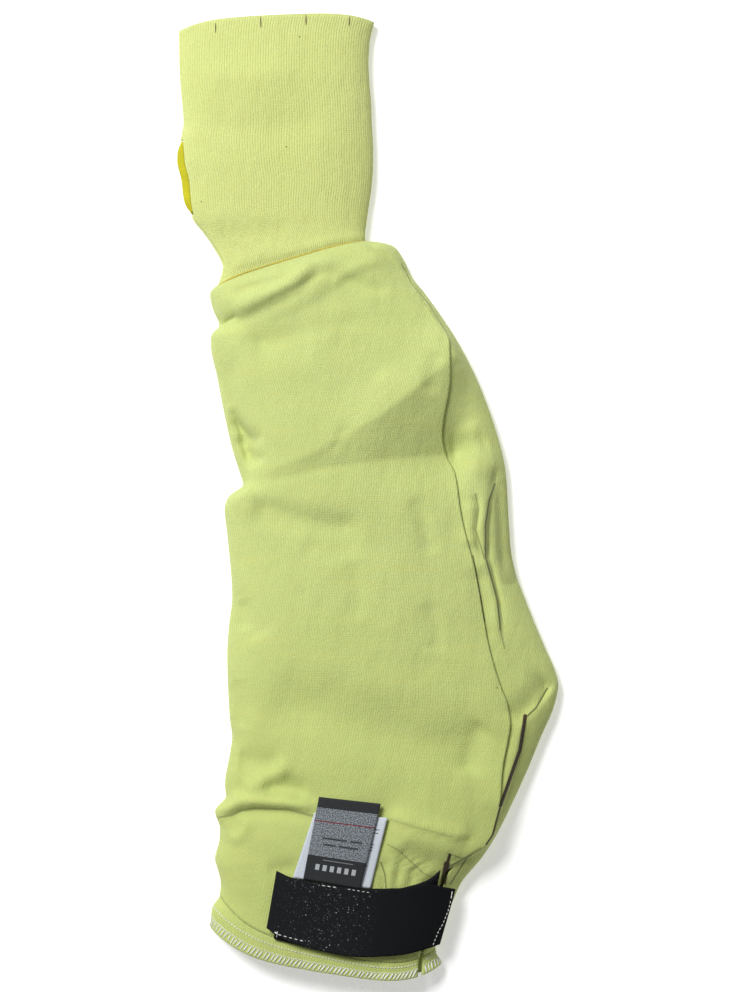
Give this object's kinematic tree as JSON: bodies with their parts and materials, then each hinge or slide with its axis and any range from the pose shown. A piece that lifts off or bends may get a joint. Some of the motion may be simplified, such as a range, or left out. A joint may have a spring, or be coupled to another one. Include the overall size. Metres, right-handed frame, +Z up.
{
  "type": "protective arm sleeve",
  "caption": "Lying knitted protective arm sleeve with a ribbed cuff, a bound thumb slot, a slit upper arm opening with a stitched hem, a hook strap and blank labels.",
  "frame": {"origin": "on the surface that the sleeve lies on, under the middle of its bounding box", "axes": "+Y along the sleeve from the upper arm opening to the hand opening, +X across it, +Z up from the surface"},
  "size_m": [0.2202, 0.5556, 0.0328],
  "materials": {
    "jersey": "soft matt knit",
    "rib": "soft matt rib knit",
    "yellow_thread": "satin thread",
    "hook_tape": "matt woven hook tape",
    "loop_tape": "matt pile",
    "woven_label": "satin weave",
    "care_label": "satin weave"
  },
  "bodies": {
    "root": {"sleeve_body": "jersey", "wrist_cuff": "rib", "thumb_slot_binding": "yellow_thread", "arm_hem": "jersey", "closure_strap": "hook_tape", "loop_patch": "loop_tape", "woven_label": "woven_label", "care_label": "care_label"}
  },
  "joints": []
}
